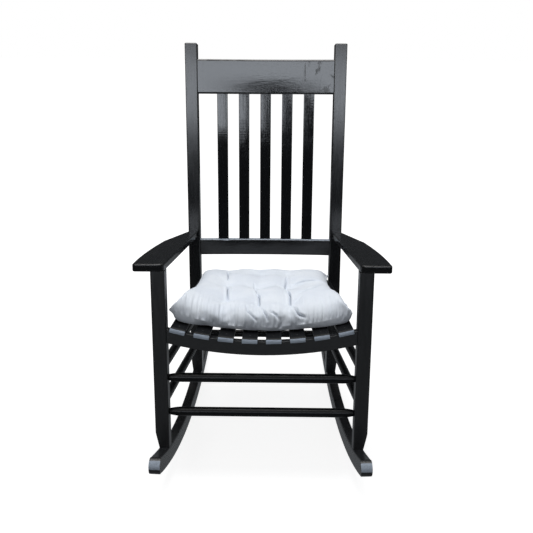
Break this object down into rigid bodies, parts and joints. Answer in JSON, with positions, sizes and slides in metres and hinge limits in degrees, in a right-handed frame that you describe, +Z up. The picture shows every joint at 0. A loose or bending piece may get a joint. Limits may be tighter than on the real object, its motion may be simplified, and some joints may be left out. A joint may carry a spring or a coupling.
{
  "type": "porch rocking chair",
  "caption": "High-backed wooden porch rocker with slat back, broad arms, scooped slat seat, turned rungs and a loose tufted seat cushion.",
  "frame": {"origin": "on the floor, at the middle of the footprint that the chair covers at rest", "axes": "+Z up from the floor, +X across the chair to the right of the picture, +Y from the front of the seat to its back"},
  "size_m": [0.679, 0.8634, 1.1441],
  "materials": {
    "black_paint": "gloss black brushed paint over hardwood, a little worn on the edges",
    "cushion_cotton": "pale blue-white plain-woven cotton, matte, tufted",
    "zinc_steel": "zinc-plated steel, dull",
    "bare_wood": "bare hardwood dowel"
  },
  "bodies": {
    "frame": {"rocker_left": "black_paint", "rocker_right": "black_paint", "front_leg_left": "black_paint", "front_leg_right": "black_paint", "back_post_left": "black_paint", "back_post_right": "black_paint", "armrest_left": "black_paint", "armrest_right": "black_paint", "crest_rail": "black_paint", "lower_back_rail": "black_paint", "front_seat_rail": "black_paint", "rear_seat_rail": "black_paint", "front_rung_upper": "black_paint", "front_rung_lower": "black_paint", "rear_rung": "black_paint", "side_rung_upper_left": "black_paint", "side_rung_upper_right": "black_paint", "side_rung_lower_left": "black_paint", "side_rung_lower_right": "black_paint", "rocker_bolts": "zinc_steel", "arm_dowels": "bare_wood", "arm_screws": "zinc_steel", "seat_nails": "zinc_steel", "back_slat_1": "black_paint", "back_slat_2": "black_paint", "back_slat_3": "black_paint", "back_slat_4": "black_paint", "back_slat_5": "black_paint", "seat_slat_1": "black_paint", "seat_slat_2": "black_paint", "seat_slat_3": "black_paint", "seat_slat_4": "black_paint", "seat_slat_5": "black_paint", "seat_slat_6": "black_paint", "seat_slat_7": "black_paint", "seat_slat_8": "black_paint"},
    "cushion": {"cushion": "cushion_cotton"}
  },
  "joints": [
    {"name": "cushion_lift", "type": "slide", "parent": "frame", "child": "cushion", "axis": [0, -0.342, 0.9397], "range_m": [0, 0.3]}
  ]
}
